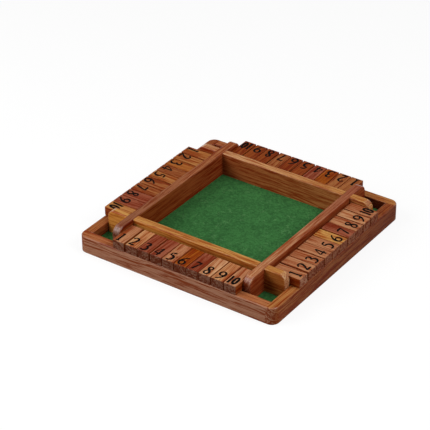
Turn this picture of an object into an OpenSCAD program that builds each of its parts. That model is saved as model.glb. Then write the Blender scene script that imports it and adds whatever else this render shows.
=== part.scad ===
// Four-sided flip-tile number game: a square hardwood tray with a felt floor, a lattice
// of four half-lapped walls, and a row of ten tiles on a steel rod along each side.
// Origin at the centre of the underside, +Z up, the first player's side towards -Y.

/* [Tray] */
// Length of each side of the square tray
side = 220; // [210:1:240]
// Height of the rails
rail_h = 18; // [15:0.5:22]
// Thickness of the rails
rail_w = 10; // [9:0.5:12]
// Radius of the tray's corners in plan
corner_r = 8; // [4:0.5:8.5]
// Round along the rails' outer top edge
rail_round = 1.6; // [0.5:0.1:3]
// Round along the rails' foot and inner top edge
rail_ease = 0.7; // [0.3:0.1:1]

/* [Floor] */
// Thickness of the base panel
panel_t = 6; // [4:0.5:8]
// Height of the panel's underside above the table
panel_recess = 1; // [0.5:0.5:2]
// Depth of the rabbet that takes the panel
rabbet = 5; // [3:0.5:6]
// Thickness of the felt
felt_t = 1; // [0.5:0.25:2]

/* [Lattice] */
// Height of the game, from the table to the top of the lattice
total_h = 32; // [30:0.5:34]
// Width of the square well inside the lattice
well = 138.5; // [136:0.5:140]
// Thickness of the lattice walls
wall_t = 8.2; // [7.5:0.1:8.5]
// Round along the top edges of the walls
wall_round = 1; // [0.5:0.1:2.5]
// Corner radius of the ears on the front wall
front_ear_r = 7; // [4:0.5:10]
// Corner radius of the ears on the other walls
ear_r = 8; // [4:0.5:10]
// Gap between the ears' ends and the rails
ear_gap = 0.5; // [0.2:0.1:1]

/* [Tiles] */
// Gap between the tiles' inner ends and the lattice, in which they turn
tile_gap = 2.5; // [2.2:0.1:4]
// Width of a tile along its rod
tile_w = 12.9; // [12:0.1:12.9]
// Thickness of a tile
tile_t = 9.5; // [8:0.1:9.6]
// Round on the edges of a tile
tile_round = 0.6; // [0.2:0.1:1]
// Diameter of the rod
rod_d = 3; // [2:0.5:4]
// Gap between rod and tile bore, all round
rod_play = 0.08; // [0.02:0.01:0.1]
// How far the rod goes into each ear
rod_seat = 5; // [3:0.5:6]

/* [Pins] */
// Diameter of the pins
pin_d = 1.6; // [1.2:0.1:2]
// Diameter of the pins' heads
pin_head = 3.2; // [2.5:0.1:4]
// How far the pins go into rails and walls
pin_bite = 8; // [5:0.5:9]

/* [Hidden] */
SIDES = ["front", "right", "back", "left"];
TILES = 10;

half = side / 2;
inner = half - rail_w;
panel_top = panel_recess + panel_t;
floor_z = panel_top + felt_t;
wall_h = total_h - floor_z;
wall_mid = (well + wall_t) / 2;
wall_len = inner - ear_gap;
lap_z = floor_z + wall_h / 2;
pitch = well / TILES;
tile_l = half - well / 2 - wall_t - tile_gap;
rod_off = half - tile_l + tile_t / 2;
rod_z = rail_h + tile_t / 2;
fit = 0.05;
head_t = 0.8;
pin_places = [-46, 0, 46];

// Where each tile has slid to along its rod, from an even spacing, side by side
slid = [
    [-0.2, 0.8, 0.5, 1.0, 0.8, 0.6, 0.2, -0.1, -0.2, -0.2],
    [0.0, 0.7, 0.3, 0.6, 0.2, -0.2, 0.2, -0.2, -0.1, 0.2],
    [-0.2, -0.6, -0.5, -0.9, -0.5, -0.3, -0.6, 0.1, -0.2, 0.1],
    [0.3, 0.7, 1.0, 0.7, 0.6, 0.8, 0.9, 1.0, 0.6, 0.2],
];

// Wood tones, repeated along the rows
tones = ["#a5674c", "#8f4f3a", "#b0703f", "#b98a55", "#9a5a33", "#b27a35", "#a8714f"];

// Points of an arc about c, from angle a to angle b
function arc(c, r, a, b, n = 5) =
    [for (i = [0 : n]) let (t = a + (b - a) * i / n) c + r * [cos(t), sin(t)]];

// Rail section w deep: straight inside at x = 0, its foot and outer top edge rounded
function rail_section(w) = concat(
    [[0, 0]],
    arc([w - rail_ease, rail_ease], rail_ease, -90, 0, 3),
    arc([w - rail_round, rail_h - rail_round], rail_round, 0, 90),
    [[0, rail_h]]
);

// Wall section: thickness across x, its two top edges rounded
function wall_section() = concat(
    [[-wall_t / 2, 0], [wall_t / 2, 0]],
    arc([wall_t / 2 - wall_round, wall_h - wall_round], wall_round, 0, 90),
    arc([-wall_t / 2 + wall_round, wall_h - wall_round], wall_round, 90, 180)
);

// The same rounds turned on their side, for an ear of radius r
function ear_section(r) = concat(
    [[0, -wall_t / 2]],
    arc([r - wall_round, -wall_t / 2 + wall_round], wall_round, -90, 0),
    arc([r - wall_round, wall_t / 2 - wall_round], wall_round, 0, 90),
    [[0, wall_t / 2]]
);

// Rectangle about x = 0 that stands on y = 0, with all its corners rounded
function tile_section(w) = let (r = tile_round) concat(
    arc([w / 2 - r, r], r, -90, 0, 3),
    arc([w / 2 - r, tile_t - r], r, 0, 90, 3),
    arc([-w / 2 + r, tile_t - r], r, 90, 180, 3),
    arc([-w / 2 + r, r], r, 180, 270, 3)
);

// Extrudes a section along the front side, from x = from to x = to, its own x outwards
module along_side(from, to) {
    translate([to, 0, 0]) rotate([90, 0, -90]) linear_extrude(to - from) children();
}

// Turns a front piece round to side k
module on_side(k) {
    rotate([0, 0, 90 * k]) children();
}

// The places of the pins under one side, at distance d from the centre
module pin_row(d) {
    for (x = pin_places) translate([x, -d, panel_recess]) children();
}

// Front rail: rounded at its left end, square at its right end against the next rail
module rail() {
    c = half - corner_r;
    difference() {
        union() {
            translate([0, -inner, 0]) along_side(-c, inner) polygon(rail_section(rail_w));
            translate([-c, -c, 0]) rotate([0, 0, 180])
                rotate_extrude(angle = 90, $fn = 64) polygon(rail_section(corner_r));
            translate([-c, -c, 0]) rotate([90, 0, 180])
                linear_extrude(c - inner) polygon(rail_section(corner_r));
        }
        translate([-inner - rabbet, -inner - rabbet, -1])
            cube([2 * (inner + rabbet), 2 * (inner + rabbet), panel_top + 1]);
        rail_edge_cut();
        pin_row(inner + rabbet / 2) cylinder(h = panel_t + pin_bite + fit, d = pin_d + 2 * fit, $fn = 24);
    }
}

// Takes the sharp inner top edge off the rail, between the neighbouring rails
module rail_edge_cut() {
    translate([0, -inner, rail_h]) along_side(-inner, inner)
        polygon([[-1, 0.5], [-1, -rail_ease], [0, -rail_ease], [rail_ease, 0], [rail_ease, 0.5]]);
}

// Panel in the rails' rabbet, pierced for the pins
module base_panel() {
    w = inner + rabbet - 0.1;
    color("#b89468") difference() {
        translate([-w, -w, panel_recess]) cube([2 * w, 2 * w, panel_t]);
        for (k = [0 : 3]) on_side(k) {
            pin_row(inner + rabbet / 2) pin_hole();
            pin_row(wall_mid) pin_hole();
        }
    }
}

// Hole in the panel for a pin and its head
module pin_hole() {
    translate([0, 0, -1]) cylinder(h = panel_t + 2, d = pin_d + 2 * fit, $fn = 24);
    translate([0, 0, -1]) cylinder(h = head_t + fit + 1, d = pin_head + 2 * fit, $fn = 24);
}

module felt() {
    w = inner - 0.1;
    color("#1f6a30") difference() {
        translate([-w, -w, panel_top]) cube([2 * w, 2 * w, felt_t]);
        for (k = [0 : 3]) on_side(k) pin_row(wall_mid)
            cylinder(h = floor_z + 1, d = pin_d + 2 * fit, $fn = 24);
    }
}

// Wall board in its front place, with ears of radius r and blind holes for two rods
module wall(r) {
    flat = wall_len - r;
    difference() {
        translate([0, -wall_mid, floor_z]) {
            along_side(-flat, flat) polygon(wall_section());
            for (m = [0, 1]) mirror([m, 0, 0]) translate([flat, 0, 0]) {
                linear_extrude(wall_h - r) polygon(ear_section(r));
                translate([0, 0, wall_h - r]) rotate([90, 0, 0])
                    rotate_extrude(angle = 90, $fn = 64) polygon(ear_section(r));
            }
        }
        for (m = [-1, 1]) translate([m * rod_off, -well / 2 + 1, rod_z]) rotate([90, 0, 0])
            cylinder(h = rod_seat + 1, d = rod_d + 2 * fit, $fn = 32);
        pin_row(wall_mid) cylinder(h = floor_z + pin_bite, d = pin_d + 2 * fit, $fn = 24);
    }
}

// Half-lap slots in a front or back wall, cut from low to high
module laps(low, high) {
    for (m = [-1, 1]) translate([m * wall_mid, -wall_mid, (low + high) / 2])
        cube([wall_t + 2 * fit, wall_t + 2, high - low], center = true);
}

// Front and back walls are slotted from above
module cross_wall(k, r) {
    color("#b8793a") on_side(k) difference() {
        wall(r);
        laps(lap_z, total_h + 1);
    }
}

// Left and right walls are slotted from below and run over the others
module long_wall(k, r) {
    color("#96563c") on_side(k) difference() {
        wall(r);
        laps(floor_z - 1, lap_z);
    }
}

// Rod of one side, chamfered, from ear to ear
module rod() {
    r = rod_d / 2;
    l = well / 2 + rod_seat - 0.2;
    c = 0.3;
    color("#c4c6c8") translate([0, -rod_off, rod_z]) rotate([0, 90, 0]) rotate_extrude($fn = 48)
        polygon([[0, -l], [r - c, -l], [r, -l + c], [r, l - c], [r - c, l], [0, l]]);
}

// Tile n of the front side, bored for the rod near its inner end
module tile(n, shift) {
    x = (n - (TILES + 1) / 2) * pitch + shift;
    translate([x, -half + tile_l / 2, rail_h]) difference() {
        intersection() {
            translate([0, tile_l / 2 + 1, 0]) rotate([90, 0, 0])
                linear_extrude(tile_l + 2) polygon(tile_section(tile_w));
            along_side(-tile_w / 2 - 1, tile_w / 2 + 1) polygon(tile_section(tile_l));
        }
        translate([-tile_w / 2 - 1, tile_l / 2 - tile_t / 2, tile_t / 2]) rotate([0, 90, 0])
            cylinder(h = tile_w + 2, d = rod_d + 2 * rod_play, $fn = 32);
    }
}

// Pin with a flat head, driven upwards, its point pin_bite above the panel and depth more
module pin(depth) {
    l = panel_t + depth + pin_bite - 0.3;
    r = pin_d / 2;
    rotate_extrude($fn = 24)
        polygon([[0, 0], [pin_head / 2, 0], [pin_head / 2, head_t], [r, head_t], [r, l - 1.5], [0, l]]);
}

module panel_pins() {
    color("#9a9ca0") for (k = [0 : 3]) on_side(k) pin_row(inner + rabbet / 2) pin(0);
}

module wall_pins() {
    color("#9a9ca0") for (k = [0 : 3]) on_side(k) pin_row(wall_mid) pin(felt_t);
}

for (k = [0 : 3]) {
    color("#9c5a35") on_side(k) rail();
    on_side(k) rod();
    for (n = [1 : TILES]) {
        color(tones[(n + 3 * k) % len(tones)]) on_side(k) tile(n, slid[k][n - 1]);
    }
}
base_panel();
felt();
cross_wall(0, front_ear_r);  // front_wall
long_wall(1, ear_r);  // right_wall
cross_wall(2, ear_r);  // back_wall
long_wall(3, ear_r);  // left_wall
panel_pins();
wall_pins();
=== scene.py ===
# Looks of the four-sided flip-tile number game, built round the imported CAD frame.
# Lengths are in metres, as in the frame; mm turns millimetres into metres.
import bmesh
import bpy
import math
import random
from mathutils import Matrix, Vector


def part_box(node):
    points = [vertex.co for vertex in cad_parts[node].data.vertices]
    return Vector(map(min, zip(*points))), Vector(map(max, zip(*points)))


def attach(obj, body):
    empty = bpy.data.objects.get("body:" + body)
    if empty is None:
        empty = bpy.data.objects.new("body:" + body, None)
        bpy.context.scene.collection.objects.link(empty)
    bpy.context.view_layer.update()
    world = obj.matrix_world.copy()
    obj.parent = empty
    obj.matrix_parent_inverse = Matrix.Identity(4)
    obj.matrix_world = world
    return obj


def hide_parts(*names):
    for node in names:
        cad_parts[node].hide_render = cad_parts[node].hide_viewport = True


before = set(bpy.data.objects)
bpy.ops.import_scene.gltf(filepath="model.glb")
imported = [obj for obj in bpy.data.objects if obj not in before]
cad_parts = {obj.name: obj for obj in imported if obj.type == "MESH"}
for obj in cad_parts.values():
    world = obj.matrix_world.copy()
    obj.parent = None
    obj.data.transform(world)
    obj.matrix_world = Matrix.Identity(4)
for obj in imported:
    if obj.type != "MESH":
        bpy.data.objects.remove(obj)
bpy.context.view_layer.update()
mm = 0.001

# Rails
# Four lengths of sheesham on edge round the tray. Each starts with a rounded corner and
# butts against the side of the next; a rabbet inside its foot takes the base panel. They
# are planed, eased, rubbed down and lacquered to a satin shine.
SIDES = ["front", "right", "back", "left"]
rail_low, rail_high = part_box("front_rail")
half = -rail_low.x
inner = rail_high.x
rail_h = rail_high.z
panel_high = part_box("base_panel")[1]
rabbet_play = 0.1 * mm
rabbet_edge = panel_high.x + rabbet_play
corner_r = 8 * mm
rail_round = 1.6 * mm
rail_ease = 0.7 * mm
seam_ease = 0.12 * mm
pin_places = [-46 * mm, 0, 46 * mm]
pin_hole_d = 1.7 * mm
pin_hole_spare = 0.3 * mm
rail_pins_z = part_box("panel_pins")[1].z + pin_hole_spare
same_place = 0.02 * mm
round_angle = math.radians(40)


def alone(piece):
    """Makes one object the active one, and the only one selected."""
    bpy.ops.object.select_all(action="DESELECT")
    piece.select_set(True)
    bpy.context.view_layer.objects.active = piece


def block(name, low, high):
    """A new cube, stretched from its lowest to its highest corner."""
    low, high = Vector(low), Vector(high)
    bpy.ops.object.select_all(action="DESELECT")
    bpy.ops.mesh.primitive_cube_add(size=1, location=(low + high) / 2, scale=high - low)
    bpy.context.object.name = name
    bpy.ops.object.transform_apply(location=True, rotation=False, scale=True)
    return bpy.context.object


def peg(name, foot, way, length, diameter, sides=24):
    """A new cylinder, from the middle of its foot along a way."""
    foot, way = Vector(foot), Vector(way)
    bpy.ops.object.select_all(action="DESELECT")
    bpy.ops.mesh.primitive_cylinder_add(
        vertices=sides, radius=diameter / 2, depth=length,
        location=foot + way * length / 2, rotation=way.to_track_quat("Z", "Y").to_euler(),
    )
    bpy.context.object.name = name
    bpy.ops.object.transform_apply(location=True, rotation=True, scale=True)
    return bpy.context.object


def joined(pieces):
    """Several objects joined into the first of them."""
    alone(pieces[0])
    for piece in pieces[1:]:
        piece.select_set(True)
    bpy.ops.object.join()
    return bpy.context.object


def near(a, b):
    """Whether two places along an axis are the same, but for rounding."""
    return abs(a - b) < same_place


def bevel(piece, wanted, width, steps):
    """Rounds the edges whose middle passes a test."""
    alone(piece)
    bpy.ops.object.mode_set(mode="EDIT")
    bpy.ops.mesh.select_mode(type="EDGE")
    bpy.ops.mesh.select_all(action="DESELECT")
    shape = bmesh.from_edit_mesh(piece.data)
    for edge in shape.edges:
        start, end = (corner.co for corner in edge.verts)
        edge.select_set(bool(wanted((start + end) / 2)))
    bmesh.update_edit_mesh(piece.data)
    bpy.ops.mesh.bevel(offset=width, segments=steps, affect="EDGES")
    bpy.ops.object.mode_set(mode="OBJECT")


def slice_at(piece, place, normal):
    """Cuts a ring of edges round a piece where a plane passes."""
    alone(piece)
    bpy.ops.object.mode_set(mode="EDIT")
    bpy.ops.mesh.select_all(action="SELECT")
    bpy.ops.mesh.bisect(plane_co=place, plane_no=normal)
    bpy.ops.object.mode_set(mode="OBJECT")


def finish_modifier(piece, kind, **settings):
    """Adds a modifier, with its settings, and applies it."""
    alone(piece)
    modifier = piece.modifiers.new(kind.title(), kind)
    for name, value in settings.items():
        setattr(modifier, name, value)
    bpy.ops.object.modifier_apply(modifier=modifier.name)


def cut(piece, cutter):
    """Takes the cutter out of a piece. What it cuts open gets the cutter's material."""
    finish_modifier(
        piece, "BOOLEAN", object=cutter, operation="DIFFERENCE", solver="MANIFOLD",
        material_mode="TRANSFER",
    )
    bpy.data.objects.remove(cutter)


def smooth(piece):
    """Shades the rounds smooth and leaves the flats flat."""
    alone(piece)
    bpy.ops.object.shade_smooth_by_angle(angle=round_angle)
    finish_modifier(piece, "WEIGHTED_NORMAL", keep_sharp=True, weight=100)


def copy_of(piece, name):
    """A copy of a piece, with a mesh of its own."""
    twin = piece.copy()
    twin.data = piece.data.copy()
    twin.name = name
    bpy.context.scene.collection.objects.link(twin)
    return twin


class Wire:
    """A socket of a material, on which sums are written as Python."""

    def __init__(self, tree, socket=None):
        self.tree = tree
        self.socket = socket

    def node(self, kind, inputs, output=0, **settings):
        """Adds a node: its settings first, then the values and links of its sockets."""
        made = self.tree.nodes.new(kind)
        for name, value in settings.items():
            setattr(made, name, value)
        for name, value in inputs.items():
            if isinstance(value, Wire):
                self.tree.links.new(value.socket, made.inputs[name])
            else:
                made.inputs[name].default_value = value
        return Wire(self.tree, made.outputs[output])

    def feed(self, socket):
        """Runs this wire into a shader's socket."""
        self.tree.links.new(self.socket, socket)

    def sum(self, operation, *values):
        return self.node("ShaderNodeMath", dict(enumerate(values)), operation=operation)

    def __add__(self, other):
        return self.sum("ADD", self, other)

    def __sub__(self, other):
        return self.sum("SUBTRACT", self, other)

    def __rsub__(self, other):
        return self.sum("SUBTRACT", other, self)

    def __mul__(self, other):
        return self.sum("MULTIPLY", self, other)

    def __abs__(self):
        return self.sum("ABSOLUTE", self)

    __radd__ = __add__
    __rmul__ = __mul__

    def step(self, low, high):
        """0 below low and 1 above high, with a soft step between them."""
        inputs = {"Value": self, "From Min": low, "From Max": high}
        return self.node("ShaderNodeMapRange", inputs, interpolation_type="SMOOTHSTEP")

    def stretched(self, scale):
        """These coordinates times a scale for each axis."""
        return self.node("ShaderNodeVectorMath", {0: self, 1: scale}, operation="MULTIPLY")

    def noise(self, scale, detail=2.0, roughness=0.5):
        """Noise from 0 to 1 over these coordinates, stretched by a scale for each axis."""
        return self.node("ShaderNodeTexNoise", {
            "Vector": self.stretched(scale), "Scale": 1.0, "Detail": detail, "Roughness": roughness,
        })

    def wander(self, scale, detail):
        """Noise from 0 to 1 along this one value."""
        inputs = {"W": self * scale, "Scale": 1.0, "Detail": detail, "Roughness": 0.6}
        return self.node("ShaderNodeTexNoise", inputs, noise_dimensions="1D")

    def mix(self, first, second):
        """A colour between two, where this wire is the share of the second."""
        return self.node("ShaderNodeMix", {0: self, 6: first, 7: second}, 2, data_type="RGBA")

    def bump(self, height, strength):
        """Relief from this wire, as high as height where it goes from 0 to 1."""
        inputs = {"Height": self, "Distance": height, "Strength": strength}
        return self.node("ShaderNodeBump", inputs)


def new_material(name):
    """A new material, its surface shader, and a wire to start its sums from."""
    material = bpy.data.materials.new(name)
    material.use_nodes = True
    return material, material.node_tree.nodes["Principled BSDF"].inputs, Wire(material.node_tree)


def linear(red, green, blue):
    """A colour as a screen shows it, from 0 to 255 each, turned into Blender's linear one."""
    return [((c / 255 + 0.055) / 1.055) ** 2.4 for c in (red, green, blue)]


def tinted(tone, shade):
    """A tone times a shade. The tone is a wire, or a plain colour."""
    if isinstance(tone, Wire):
        inputs = {0: 1.0, 6: tone, 7: (*shade, 1)}
        return tone.node("ShaderNodeMix", inputs, 2, data_type="RGBA", blend_type="MULTIPLY")
    return [part * much for part, much in zip(tone, (*shade, 1))]


# How the pale wood, the dark wood, the pores and the worn lacquer differ from a board's tone,
# as shares of its red, green and blue. The paler worn wood on the upper rounds is partly real
# wear and partly a painted highlight.
pale_wood = (1.43, 1.83, 2.25)
dark_wood = (0.76, 0.4, 0.24)
pore_wood = (0.3, 0.14, 0.1)
worn_highlight_wood = (1.5, 1.4, 1.3)


def grow_wood(grain, tone, figure, end):
    """The wood's colour and its relief: rings of pale and dark wood round the heart of the
    log, paler where the fibres lean to the light, with streaks, fibres and pores along it.
    grain is in millimetres, x along the log; figure is how marked the streaks are."""
    bend = grain.noise((0.011, 0.05, 0.05)) - 0.5
    waver = grain.noise((0.03, 0.3, 0.3)) - 0.5
    flat = grain.stretched((0, 1, 1))
    radius = grain.node("ShaderNodeVectorMath", {0: flat}, 1, operation="LENGTH")
    ring = radius + bend * 8.0 + waver * 2.5
    bands = ring.wander(0.26, 3.0).step(0.36, 0.64)
    lines = (ring + 37.0).wander(0.9, 2.0).step(0.5, 0.64)
    streak = grain.noise((0.03, 0.55, 0.55), 3.0, 0.6).step(0.42, 0.64)
    sheen = grain.noise((0.026, 0.22, 0.22), 3.0).step(0.44, 0.72)
    cloud = grain.noise((0.009, 0.03, 0.03)) - 0.5
    fibre = grain.noise((0.045, 1.2, 1.2), 4.0, 0.65) - 0.5
    pores = grain.noise((0.2, 3.6, 3.6), 1.0).step(0.62, 0.7)
    marks = bands * 0.5 + lines * 0.45 + streak * 0.55 + cloud - sheen * 0.3 - 0.45
    depth = (marks * figure * (end * 1.5 + 1) + fibre * (1.9 - end) + 0.45).step(-0.05, 1.05)
    colour = depth.mix(tinted(tone, pale_wood), tinted(tone, dark_wood))
    colour = (pores * (end * 0.25 + 0.4)).mix(colour, tinted(tone, pore_wood))
    return colour, fibre, pores


def sheesham(name, rough, lacquer):
    """Lacquered sheesham, for pieces that saw() has given their grain. rough is how dull the
    wood is, and lacquer is how thick and shiny the lacquer stands over the rounds, most of
    all where they were buffed on a wheel."""
    material, surface, start = new_material(name)
    grain = start.node("ShaderNodeAttribute", {}, "Vector", attribute_name="grain")
    tone = start.node("ShaderNodeAttribute", {}, "Color", attribute_name="tone")
    figure = start.node("ShaderNodeAttribute", {}, "Alpha", attribute_name="tone")
    end = start.node("ShaderNodeAttribute", {}, "Fac", attribute_name="end_grain")
    buffed = start.node("ShaderNodeAttribute", {}, "Fac", attribute_name="buffed")
    colour, fibre, pores = grow_wood(grain, tone, figure, end)
    # The buffed upper rounds turn paler: partly real wear of the lacquer, partly a painted
    # highlight along the edges
    wear_and_highlight = buffed * lacquer * grain.noise((0.1, 0.6, 0.6)).step(0.35, 0.75)
    colour = (wear_and_highlight * 0.15).mix(colour, tinted(tone, worn_highlight_wood))
    colour.feed(surface["Base Color"])
    (fibre * 0.14 + pores * 0.15 + end * 0.12 + rough).feed(surface["Roughness"])
    (buffed * lacquer + 0.02).feed(surface["Coat Weight"])
    (fibre * 0.5 - pores).bump(0.05 * mm, 0.4).feed(surface["Normal"])
    surface["Specular IOR Level"].default_value = 0.01
    surface["Coat Roughness"].default_value = 0.15
    return material


# Tones of the wood
TONES = {
    "sand": (176, 120, 78),
    "tan": (170, 110, 66),
    "honey": (170, 110, 52),
    "copper": (188, 116, 46),
    "clay": (140, 87, 60),
    "rose": (158, 97, 60),
    "hazel": (154, 92, 44),
    "chestnut": (148, 82, 44),
    "amber": (150, 82, 32),
    "cedar": (138, 75, 36),
    "ginger": (138, 64, 12),
    "auburn": (140, 62, 28),
    "russet": (132, 65, 40),
    "walnut": (128, 62, 28),
    "brick": (120, 67, 42),
    "umber": (124, 53, 16),
    "cocoa": (102, 61, 42),
    "rust": (104, 44, 18),
}
# How much a long edge was buffed, where the round of an end counts 1
edge_buff = 0.4


def mark(mesh, name, kind, domain, field, values):
    """Writes a value for each point or corner of a mesh, for its material to read."""
    mesh.attributes.new(name, kind, domain).data.foreach_set(field, values)


def saw(piece, along, heart, tones, lean, reach, far=None, figure=1.0):
    """Says how a piece was sawn. along is the axis of its grain, 0 or 1; heart is where the
    log's heart lay beside and above the piece's middle; tones names its colours on top, on
    its sides and on its ends, and far names them at its other end, where they change on the
    way; lean is how many degrees the grain runs out sideways; reach is how far along the log
    it lay. heart and reach are in mm."""
    mesh = piece.data
    middle = sum((Vector(corner) for corner in piece.bound_box), Vector()) / 8
    length = 2 * (middle[along] - piece.bound_box[0][along])
    turn = Matrix.Rotation(math.radians(lean), 3, "Z")
    grain = []
    for vertex in mesh.vertices:
        place = turn @ ((vertex.co - middle) / mm)
        grain += [place[along] + reach, place[1 - along] - heart[0], place[2] - heart[1]]
    near_end = [linear(*TONES[name]) for name in tones.split()]
    far_end = [linear(*TONES[name]) for name in (far or tones).split()]
    ends = []
    buffs = []
    shades = []
    for face in mesh.polygons:
        shares = face.normal.z ** 2, face.normal[1 - along] ** 2, face.normal[along] ** 2
        first, last = (
            sum((Vector(colour) * share for colour, share in zip(colours, shares)), Vector())
            for colours in (near_end, far_end)
        )
        for index in face.vertices:
            way = (mesh.vertices[index].co[along] - middle[along]) / length + 0.5
            shades += [*first.lerp(last, way), figure]
        # A round leans off every axis and upwards, and the round of an end also leans lengthwise
        endwise = abs(face.normal[along])
        rounded = max(map(abs, face.normal)) < 0.98 and face.normal.z > 0.1
        buff = (1.0 if endwise > 0.15 else edge_buff) * face.normal.z if rounded else 0.0
        ends += [endwise ** 4] * face.loop_total
        buffs += [buff] * face.loop_total
    mark(mesh, "grain", "FLOAT_VECTOR", "POINT", "vector", grain)
    mark(mesh, "tone", "FLOAT_COLOR", "CORNER", "color", shades)
    mark(mesh, "end_grain", "FLOAT", "CORNER", "value", ends)
    mark(mesh, "buffed", "FLOAT", "CORNER", "value", buffs)


def fit(piece, side, body, node):
    """Turns a piece made for the front round to its side, and ties it to the frame."""
    piece.data.transform(Matrix.Rotation(math.radians(90 * SIDES.index(side)), 4, "Z"))
    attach(piece, body)
    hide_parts(node)


rail_wood = sheesham("rail_wood", rough=0.36, lacquer=0.9)
rail = block("rail", (-half, -half, 0), (inner, -inner, rail_h))
rail.data.materials.append(rail_wood)
bevel(rail, lambda at: near(at.x, -half) and near(at.y, -half), corner_r, 12)
for z, width, steps in [(rail_h, rail_round, 5), (0, rail_ease, 3)]:
    bevel(rail, lambda at: near(at.z, z) and at.y < -inner - mm and at.x < inner - mm, width, steps)
slice_at(rail, (-inner, 0, 0), (1, 0, 0))
bevel(rail, lambda at: near(at.z, rail_h) and near(at.y, -inner) and at.x > -inner, rail_ease, 3)
bevel(rail, lambda at: near(at.x, inner) and not near(at.y, -inner), seam_ease, 1)
cut(rail, block("rabbet", (-rabbet_edge, -rabbet_edge, -mm), (rabbet_edge, 0, panel_high.z)))
cut(rail, joined([
    peg("hole", (x, -(inner + rabbet_edge) / 2, 0), (0, 0, 1), rail_pins_z, pin_hole_d)
    for x in pin_places
]))
smooth(rail)
RAILS = {
    "front": dict(tones="chestnut clay brick", heart=(30, 26), figure=1.6, lean=-1.2, reach=0),
    "right": dict(
        tones="hazel cedar clay", far="walnut rust brick",
        heart=(-24, 30), figure=1.3, lean=0.8, reach=400,
    ),
    "back": dict(
        tones="hazel rust brick", far="chestnut walnut brick",
        heart=(20, -34), lean=0.5, reach=800,
    ),
    "left": dict(
        tones="walnut walnut brick", far="cedar walnut brick",
        heart=(-30, 22), lean=-0.6, reach=1200,
    ),
}
for side, sawn in RAILS.items():
    piece = copy_of(rail, side + "_rail_board")
    saw(piece, 0, **sawn)
    fit(piece, side, "tray", side + "_rail")
bpy.data.objects.remove(rail)

# Base panel and its pins
# A 6 mm plywood panel that drops into the rails' rabbet. Flat-headed steel pins, driven
# from below into their counterbores, hold it to the rails and hold the lattice down.


def paint(nodes, material):
    """Gives CAD nodes that keep their own shape a material."""
    for node in nodes:
        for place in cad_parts[node].material_slots:
            place.material = material


def places(start):
    """Where each point of a piece lies, in millimetres."""
    return start.node("ShaderNodeTexCoord", {}, "Object").stretched((1 / mm, 1 / mm, 1 / mm))


panel_wood, surface, start = new_material("panel_wood")
place = places(start)
lie = {"Vector": place, "Location": (0, -60, 140), "Rotation": (0.012, 0.02, 0)}
veneer = (*linear(186, 142, 94), 1)
colour, fibre, pores = grow_wood(start.node("ShaderNodeMapping", lie), veneer, 0.5, 0)
colour.feed(surface["Base Color"])
(fibre * 0.2 + 0.62).feed(surface["Roughness"])
(fibre - pores).bump(0.06 * mm, 0.5).feed(surface["Normal"])
paint(["base_panel"], panel_wood)

steel, surface, start = new_material("steel")
place = places(start)
haze = place.noise((0.6, 0.6, 0.6), 3.0)
scratch = place.noise((9.0, 9.0, 9.0), 2.0) - 0.5
haze.mix((*linear(196, 196, 198), 1), (*linear(150, 148, 146), 1)).feed(surface["Base Color"])
(haze * 0.2 + scratch * 0.2 + 0.2).feed(surface["Roughness"])
scratch.bump(0.02 * mm, 0.4).feed(surface["Normal"])
surface["Metallic"].default_value = 1.0
paint(["panel_pins", "wall_pins"], steel)

# Felt
# A square of green wool felt, 1 mm thick, that is laid on the panel inside the rails. The
# lattice presses on it, and it lies a hair lower and a little uneven in the open parts.
felt_low, felt_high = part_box("felt")
wall_low, wall_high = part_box("front_wall")
wall_mid = -(wall_low.y + wall_high.y) / 2
felt_cells = 120
felt_sag = 0.12 * mm
# How deep its upper face counts, and how far to each side a wall holds it down
felt_skin = 0.1 * mm
pressed = 5 * mm

felt_cloth, surface, start = new_material("felt")
place = places(start)
blotch = place.noise((0.05, 0.05, 0.05), 3.0, 0.6).step(0.25, 0.75)
tuft = place.noise((0.45, 0.45, 0.45), 3.0, 0.7).step(0.25, 0.75)
curl = place.noise((2.2, 2.2, 2.2), 3.0, 0.7)
hair = place.noise((7.0, 1.4, 3.0), 2.0) * 0.5 + place.noise((1.4, 7.0, 3.0), 2.0) * 0.5
tone = (blotch * 0.15 + tuft * 0.45 + curl * 0.4).step(0.25, 0.75)
green = tone.mix((*linear(26, 72, 32), 1), (*linear(54, 112, 56), 1))
swirl = place.node("ShaderNodeTexNoise", {"Vector": place, "Scale": 0.15}, "Color")
drift = place.node(
    "ShaderNodeVectorMath", {0: swirl, 1: (16, 16, 16), 2: place}, operation="MULTIPLY_ADD"
)
lint = 1 - abs(drift.noise((0.1, 0.1, 0.1)) - 0.5).step(0.0, 0.04)
strewn = place.noise((0.09, 0.09, 0.5)).step(0.52, 0.62)
fuzz = (hair * 0.6 - 0.15).step(0.0, 0.6) * 0.4 + lint * strewn * 0.3
fuzz.mix(green, (*linear(104, 152, 96), 1)).feed(surface["Base Color"])
(curl * 0.1 + 0.88).feed(surface["Roughness"])
(hair + curl * 0.8 + lint * 0.5).bump(0.25 * mm, 0.6).feed(surface["Normal"])
surface["Specular IOR Level"].default_value = 0.1
surface["Sheen Weight"].default_value = 0.1
surface["Sheen Roughness"].default_value = 0.6
surface["Sheen Tint"].default_value = (*linear(120, 190, 110), 1)

bpy.ops.object.select_all(action="DESELECT")
bpy.ops.mesh.primitive_grid_add(
    x_subdivisions=felt_cells, y_subdivisions=felt_cells,
    size=2 * felt_high.x, location=(0, 0, felt_high.z),
)
felt = bpy.context.object
felt.name = "green_felt"
bpy.ops.object.transform_apply(location=True, rotation=False, scale=False)
finish_modifier(felt, "SOLIDIFY", thickness=felt_high.z - felt_low.z, offset=-1)
felt.data.materials.append(felt_cloth)
pin_spots = [(x, y * wall_mid) for x in pin_places for y in (-1, 1)]
cut(felt, joined([
    peg("hole", (*spot, felt_low.z - mm), (0, 0, 1), 3 * mm, pin_hole_d, sides=16)
    for x, y in pin_spots for spot in ((x, y), (y, x))
]))
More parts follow.
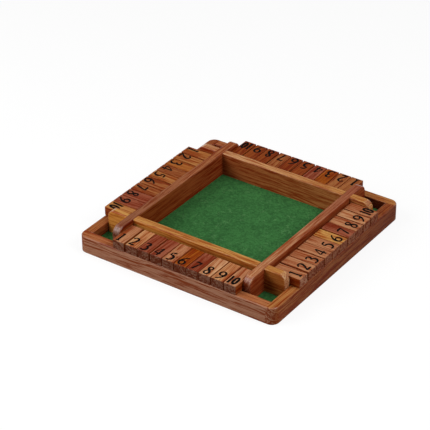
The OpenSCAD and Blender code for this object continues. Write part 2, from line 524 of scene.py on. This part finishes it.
# Each wave has a way to run, in radians, a pitch in radians to the metre, and a start
dents = random.Random(5)
waves = [(dents.uniform(0, 6.3), dents.uniform(60, 260), dents.uniform(0, 6.3)) for _ in range(9)]
for vertex in felt.data.vertices:
    x, y, z = vertex.co
    under_wall = min(abs(abs(x) - wall_mid), abs(abs(y) - wall_mid))
    if z > felt_high.z - felt_skin and under_wall > pressed:
        swell = sum(math.sin(w * (x * math.cos(a) + y * math.sin(a)) + b) for a, w, b in waves)
        vertex.co.z -= felt_sag * (0.5 + swell / len(waves))
smooth(felt)
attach(felt, "tray")
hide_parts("felt")

# Lattice walls
# Four boards, 24 mm high and slotted halfway, that cross on edge: the front and back ones
# are slotted from above and the side ones from below, so those run over them. Their ends
# stand past the crossings as rounded ears, drilled for the rods.
wall_t = wall_high.y - wall_low.y
wall_top = wall_high.z
wall_end = wall_high.x
lap_z = (wall_top + wall_low.z) / 2
wall_round = 1.0 * mm
ear_r = {"front": 7 * mm, "right": 8 * mm, "back": 8 * mm, "left": 8 * mm}
slack = 0.05 * mm
rod_low, rod_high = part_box("front_rod")
rod_z = (rod_low.z + rod_high.z) / 2
rod_off = -(rod_low.y + rod_high.y) / 2
rod_hole_d = rod_high.z - rod_low.z + 2 * slack
wall_pins_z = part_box("wall_pins")[1].z + pin_hole_spare

wall_wood = sheesham("wall_wood", rough=0.34, lacquer=0.9)
WALLS = {
    "front": dict(
        tones="honey copper sand", far="honey amber sand",
        heart=(-18, 34), figure=0.8, lean=0.8, reach=2100,
    ),
    "right": dict(
        tones="sand auburn brick", far="russet auburn rust",
        heart=(26, 20), figure=0.8, lean=0.6, reach=2400,
    ),
    "back": dict(
        tones="honey hazel honey", far="sand auburn sand",
        heart=(22, -20), lean=1.5, reach=2800,
    ),
    "left": dict(
        tones="chestnut auburn umber", far="brick umber cocoa",
        heart=(24, 18), figure=1.1, lean=-0.7, reach=3200,
    ),
}
outside, inside = -wall_mid - wall_t / 2, -wall_mid + wall_t / 2
for side, sawn in WALLS.items():
    low, high = (-wall_end, outside, wall_low.z), (wall_end, inside, wall_top)
    wall = block(side + "_wall_board", low, high)
    wall.data.materials.append(wall_wood)
    bevel(wall, lambda at: near(abs(at.x), wall_end) and near(at.z, wall_top), ear_r[side], 14)
    bevel(
        wall, lambda at: near(abs(at.y + wall_mid), wall_t / 2) and at.z > wall_low.z + mm,
        wall_round, 5,
    )
    over = side in ("left", "right")
    low, high = (wall_low.z - mm, lap_z) if over else (lap_z, wall_top + mm)
    slot_w = wall_t / 2 + slack
    cut(wall, joined([
        block("slot", (x - slot_w, outside - mm, low), (x + slot_w, inside + mm, high))
        for x in (-wall_mid, wall_mid)
    ]))
    cut(wall, joined([
        peg(
            "pin_hole", (x, -wall_mid, wall_low.z - mm), (0, 0, 1),
            wall_pins_z - wall_low.z + mm, pin_hole_d,
        )
        for x in pin_places
    ] + [
        peg(
            "rod_hole", (x, inside + mm, rod_z), (0, -1, 0),
            rod_high.x + slack + inside + mm, rod_hole_d, sides=32,
        )
        for x in (-rod_off, rod_off)
    ]))
    smooth(wall)
    saw(wall, 0, **sawn)
    fit(wall, side, "tray", side + "_wall")

# Rods
# A 3 mm steel rod along each side, on which its ten tiles turn. Its ends sit in blind holes
# in the ears of the two walls that cross there.
paint([side + "_rod" for side in SIDES], steel)

# Tiles
# Ten blocks of sheesham to a side, from mixed offcuts, bored to turn on the rod. Their
# numerals are burned in by hand-cut irons, so they are black, a little uneven and shallow.
tile_low, tile_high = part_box("front_tile_1")
tile_w = tile_high.x - tile_low.x
tile_top = tile_high.z
tile_round = 0.6 * mm
bore_play = 0.16 * mm
bore_d = rod_high.z - rod_low.z + bore_play
iron_depth = 0.35
iron_weight = 1.42
iron_scale = 0.98
iron_rise = 0.03 * mm
# How far the irons strayed: degrees round, then millimetres along the row and across it
iron_twist = (-4, 2)
iron_drift = 0.3
iron_miss = 0.4

char, surface, start = new_material("burned_wood")
place = start.node("ShaderNodeTexCoord", {}, "Object")
height = start.node("ShaderNodeSeparateXYZ", {0: place}, "Z")
deep = ((tile_top - height) * (1 / mm)).step(0.0, 0.08)
flake = place.stretched((1 / mm, 1 / mm, 1 / mm)).noise((3.0, 3.0, 3.0), 3.0)
black = flake.mix((*linear(4, 3, 3), 1), (*linear(20, 13, 10), 1))
deep.mix((*linear(48, 26, 16), 1), black).feed(surface["Base Color"])
(flake * 0.3 + 0.5).feed(surface["Roughness"])
flake.bump(0.1 * mm, 0.4).feed(surface["Normal"])
surface["Specular IOR Level"].default_value = 0.02

# The strokes of each numeral: points across and up from its middle, and half the stroke's
# width there, all in millimetres
SIX = [
    [(2.9, 6.3, 0.35), (2.3, 6.0, 0.6), (-0.2, 4.0, 0.65), (-2.4, 0.4, 0.85), (-2.9, -2.8, 0.95),
     (-1.3, -5.6, 0.75), (1.2, -5.7, 0.65), (2.8, -3.3, 0.9), (2.1, -0.6, 0.75), (0.2, 0.2, 0.6),
     (-1.9, -1.2, 0.5)],
]
NUMERALS = {
    "1": [
        [(-1.9, 4.7, 0.35), (-1.2, 5.3, 0.6), (0.1, 6.1, 0.65)],
        [(0.1, 6.3, 0.6), (0.1, 5.7, 0.8), (0.0, 0.0, 0.78), (0.0, -5.7, 0.85), (0.0, -6.2, 0.6)],
        [(-2.1, -6.1, 0.5), (0.0, -6.1, 0.6), (2.0, -6.0, 0.45)],
    ],
    "2": [
        [(-3.0, 3.6, 0.4), (-2.8, 4.1, 0.75), (-1.4, 5.8, 0.6), (0.8, 5.9, 0.7), (2.2, 4.0, 0.95),
         (1.6, 1.3, 0.9), (-0.8, -2.6, 0.65), (-3.0, -5.6, 0.6)],
        [(-3.2, -5.9, 0.4), (-2.6, -5.6, 0.75), (0.2, -5.5, 0.85), (2.8, -5.3, 0.7),
         (3.3, -4.9, 0.35)],
    ],
    "3": [
        [(-2.8, 4.4, 0.4), (-2.4, 4.9, 0.7), (-0.7, 6.0, 0.6), (1.4, 5.4, 0.8), (1.9, 3.4, 0.9),
         (0.8, 1.4, 0.7), (-0.6, 0.6, 0.45)],
        [(-0.4, 0.7, 0.45), (1.8, 0.0, 0.75), (2.8, -2.6, 0.95), (1.5, -5.3, 0.8),
         (-0.9, -6.0, 0.6), (-2.6, -5.2, 0.85), (-2.9, -4.9, 0.4)],
    ],
    "4": [
        [(1.4, 6.3, 0.35), (1.0, 5.8, 0.45), (-1.5, 1.6, 0.4), (-3.5, -2.3, 0.5)],
        [(-3.8, -2.6, 0.4), (-3.2, -2.6, 0.55), (0.4, -2.6, 0.6), (3.1, -2.4, 0.6),
         (3.6, -2.3, 0.35)],
        [(1.5, 6.2, 0.4), (1.5, 5.6, 0.7), (1.4, 0.0, 0.72), (1.2, -5.7, 0.8), (1.2, -6.2, 0.5)],
    ],
    "5": [
        [(2.9, 6.0, 0.35), (2.4, 5.9, 0.65), (0.4, 5.6, 0.8), (-1.6, 5.4, 0.5)],
        [(-1.5, 5.5, 0.5), (-1.9, 3.6, 0.55), (-2.2, 1.6, 0.55)],
        [(-2.2, 1.5, 0.5), (0.2, 1.6, 0.8), (2.4, -0.4, 0.95), (2.4, -3.6, 0.9), (0.3, -5.8, 0.65),
         (-2.2, -5.6, 0.8), (-2.7, -5.2, 0.4)],
    ],
    "6": SIX,
    "7": [
        [(-3.2, 4.3, 0.35), (-2.8, 4.8, 0.6), (-1.2, 5.6, 0.8), (1.0, 5.4, 0.8), (3.0, 5.8, 0.55)],
        [(3.1, 5.9, 0.45), (2.2, 3.4, 0.6), (0.7, -1.4, 0.75), (-0.4, -5.6, 0.85),
         (-0.5, -6.2, 0.5)],
    ],
    "8": [
        [(2.0, 4.5, 0.7), (0.2, 6.0, 0.6), (-1.9, 4.5, 0.8), (-1.2, 2.0, 0.95), (1.3, -0.6, 0.95),
         (2.5, -3.2, 0.9), (0.3, -6.0, 0.65), (-2.4, -4.0, 0.65), (-1.6, -1.2, 0.6),
         (0.9, 1.3, 0.6)],
    ],
    "9": [[(-x, -y, w) for x, y, w in SIX[0]]],
    "10": [
        [(-4.6, 5.0, 0.35), (-3.5, 5.8, 0.6)],
        [(-3.5, 5.8, 0.6), (-3.5, 5.3, 0.9), (-3.5, 0.0, 0.86), (-3.5, -5.3, 0.92),
         (-3.5, -5.8, 0.6)],
        [(-4.8, -5.6, 0.45), (-3.5, -5.6, 0.6), (-2.3, -5.5, 0.4)],
        [(1.9, 5.5, 0.6), (0.6, 3.9, 0.9), (0.1, 0.0, 1.05), (0.7, -3.9, 0.9), (1.9, -5.5, 0.6),
         (3.2, -3.9, 0.9), (3.7, 0.0, 1.05), (3.3, 3.9, 0.9)],
    ],
}
CLOSED = {("8", 0), ("10", 3)}
# Where each side's numerals stand, in millimetres: how far along from the middles of their
# tiles, how much further apart than the tiles, and how far out from the tray's middle
RACKS = {
    "front": (-1.2, 0.2, 102.0),
    "right": (0.0, 0.2, 101.0),
    "back": (-0.35, 0.15, 102.2),
    "left": (-1.3, 0.3, 101.6),
}


def stroke(points, closed):
    """One stroke of an iron, as a round bead along a smooth curve, flattened later with the whole
    iron.
    """
    bpy.ops.object.select_all(action="DESELECT")
    bpy.ops.curve.primitive_bezier_curve_add(location=(0, 0, 0))
    curve = bpy.context.object.data
    line = curve.splines[0]
    line.bezier_points.add(len(points) - 2)
    for knot, (across, up, width) in zip(line.bezier_points, points):
        knot.co = (across * mm, up * mm, 0)
        knot.radius = width * iron_weight
        knot.handle_left_type = knot.handle_right_type = "AUTO"
    line.use_cyclic_u = closed
    curve.bevel_depth = mm
    curve.bevel_resolution = 2
    curve.resolution_u = 5
    curve.use_fill_caps = not closed
    bpy.ops.object.convert(target="MESH")
    return bpy.context.object


irons = {}
for numeral, strokes in NUMERALS.items():
    iron = joined([stroke(points, (numeral, n) in CLOSED) for n, points in enumerate(strokes)])
    bpy.ops.object.mode_set(mode="EDIT")
    bpy.ops.mesh.select_all(action="SELECT")
    bpy.ops.mesh.remove_doubles(threshold=0.001 * mm)
    bpy.ops.mesh.normals_make_consistent(inside=False)
    bpy.ops.mesh.intersect_boolean(operation="UNION", use_self=True, solver="EXACT")
    bpy.ops.object.mode_set(mode="OBJECT")
    iron.data.materials.clear()
    iron.data.materials.append(char)
    iron.data.transform(Matrix.Diagonal((iron_scale, iron_scale, iron_depth, 1)))
    irons[numeral] = iron

tile_wood = sheesham("tile_wood", rough=0.38, lacquer=0.15)
tile = block("tile", tile_low, tile_high)
tile.data.materials.append(tile_wood)
bevel(tile, lambda at: True, tile_round, 3)
cut(tile, peg(
    "bore", (tile_low.x - mm, -rod_off, rod_z), (1, 0, 0), tile_w + 2 * mm, bore_d, sides=32
))
# The woods that each row is drawn from, the few tiles that stand out from their row, and the
# tones of the end grain. The back and left rows draw on darker woods, partly for their own
# colour and partly as painted shade.
ROWS = {
    "front": "rose rose tan russet",
    "right": "rose rose tan russet",
    "back": "russet cedar umber",
    "left": "russet cedar cedar hazel",
}
STANDOUTS = {
    "front_tile_6": "ginger",
    "front_tile_8": "sand",
    "right_tile_6": "honey",
    "right_tile_9": "sand",
    "back_tile_3": "ginger",
    "left_tile_3": "amber",
}
END_GRAIN = {
    "front": "cocoa",
    "right": "clay brick brick",
    "back": "brick cocoa",
    "left": "brick cocoa",
}
row_middle = (len(NUMERALS) + 1) / 2
offcuts = random.Random(12)
pile = random.Random(1)
for side, woods in ROWS.items():
    turn_back = Matrix.Rotation(math.radians(-90 * SIDES.index(side)), 4, "Z")
    for n in range(1, len(NUMERALS) + 1):
        node = f"{side}_tile_{n}"
        tone = STANDOUTS.get(node, pile.choice(woods.split()))
        end_tone = pile.choice(END_GRAIN[side].split())
        piece = copy_of(tile, node + "_block")
        low, high = (turn_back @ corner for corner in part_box(node))
        middle = (low.x + high.x) / 2
        piece.data.transform(Matrix.Translation((middle - (tile_low.x + tile_high.x) / 2, 0, 0)))
        iron = copy_of(irons[str(n)], "iron")
        aim = Matrix.Rotation(math.radians(offcuts.uniform(*iron_twist)), 4, "Z")
        off, step, out = RACKS[side]
        strayed = offcuts.uniform(-iron_drift, iron_drift)
        across = middle + (off + step * (n - row_middle) + strayed) * mm
        up = -(out + offcuts.uniform(-iron_miss, iron_miss)) * mm
        iron.data.transform(Matrix.Translation((across, up, tile_top + iron_rise)) @ aim)
        cut(piece, iron)
        smooth(piece)
        heart = (offcuts.uniform(-30, 30), offcuts.choice([-1, 1]) * offcuts.uniform(8, 45))
        # Every tile's sides take dark umber whatever its top's wood: painted shade for the narrow
        # gaps between tiles
        saw(
            piece, 1, heart, f"{tone} umber {end_tone}", figure=offcuts.uniform(0.7, 1.3),
            lean=offcuts.uniform(-4, 4), reach=offcuts.uniform(0, 4000),
        )
        fit(piece, side, node, node)
bpy.data.objects.remove(tile)
for iron in irons.values():
    bpy.data.objects.remove(iron)

# Table and light
# A plain white table and a pale room. Two soft lamps stand in front on the left, one high and
# one low, a smaller one stands on the right and a faint one hangs above. The table and the
# room show white, but give back less light than that.
table_glow = 0.86
table_own = 0.16
bounce = 0.65
room_light = 0.08


def shown_to_camera(start):
    """1 where the camera sees a thing, also as a reflection or through glass, and else 0."""
    seen = start.node("ShaderNodeLightPath", {}, "Is Camera Ray")
    mirrored = start.node("ShaderNodeLightPath", {}, "Is Glossy Ray")
    through = start.node("ShaderNodeLightPath", {}, "Is Transmission Ray")
    return seen.sum("MAXIMUM", seen, seen.sum("MAXIMUM", mirrored, through))


table, surface, start = new_material("table")
shown = shown_to_camera(start)
glow = start.node("ShaderNodeEmission", {"Color": (1, 1, 1, 1), "Strength": table_glow})
own = start.node("ShaderNodeBsdfDiffuse", {"Color": (table_own, table_own, table_own, 1)})
white = start.node("ShaderNodeAddShader", {0: glow, 1: own})
grey = start.node("ShaderNodeBsdfDiffuse", {"Color": (bounce, bounce, bounce, 1)})
both = start.node("ShaderNodeMixShader", {0: shown, 1: grey, 2: white})
both.feed(table.node_tree.nodes["Material Output"].inputs["Surface"])
bpy.ops.object.select_all(action="DESELECT")
bpy.ops.mesh.primitive_plane_add(size=8)
floor = bpy.context.object
floor.name = "table_top"
floor.data.materials.append(table)

world = bpy.data.worlds.new("room")
bpy.context.scene.world = world
world.use_nodes = True
start = Wire(world.node_tree)
shown = shown_to_camera(start)
(shown * (1 - room_light) + room_light).feed(world.node_tree.nodes["Background"].inputs["Strength"])
world.node_tree.nodes["Background"].inputs["Color"].default_value = (1, 1, 1, 1)


def lamp(name, way, distance, size, level):
    """A square soft lamp that lights a surface facing it to a level, where 1 shows its colour
    as written."""
    way = Vector(way).normalized()
    bpy.ops.object.light_add(
        type="AREA", location=way * distance, rotation=way.to_track_quat("Z", "Y").to_euler()
    )
    light = bpy.context.object
    light.name = name
    light.data.shape = "SQUARE"
    light.data.size = size
    light.data.energy = level * math.pi ** 2 * distance ** 2


lamp("high_lamp", (-0.55, -0.52, 0.65), 1.2, 0.8, 0.5)
lamp("low_lamp", (-0.54, -0.77, 0.34), 1.2, 0.8, 0.22)
lamp("side_lamp", (0.67, 0.0, 0.74), 1.3, 0.6, 0.47)
lamp("top_lamp", (0.0, 0.3, 0.95), 1.5, 0.8, 0.17)

# Camera
# It stands to the front and the right, and looks down by about a third of a right angle
# through a long lens. The picture's width, the focal length and the place of the lens's
# axis are in that picture's pixels, and camera_off, its distance from its target, in mm.
image_px = 430
focal_px = 1808.4
middle_px = 238
camera_off = 1779.8
turned, raised = math.radians(34.2), math.radians(32.36)
level = math.cos(raised)
back = Vector((math.sin(turned) * level, -math.cos(turned) * level, math.sin(raised)))
target = Vector((-32.24, 42.16, -12.71)) * mm
bpy.ops.object.camera_add(
    location=target + back * camera_off * mm, rotation=back.to_track_quat("Z", "Y").to_euler()
)
camera = bpy.context.object
camera.data.lens = focal_px / image_px * camera.data.sensor_width
camera.data.shift_x = (image_px / 2 - middle_px) / image_px
bpy.context.scene.camera = camera
bpy.context.scene.view_settings.view_transform = "Standard"
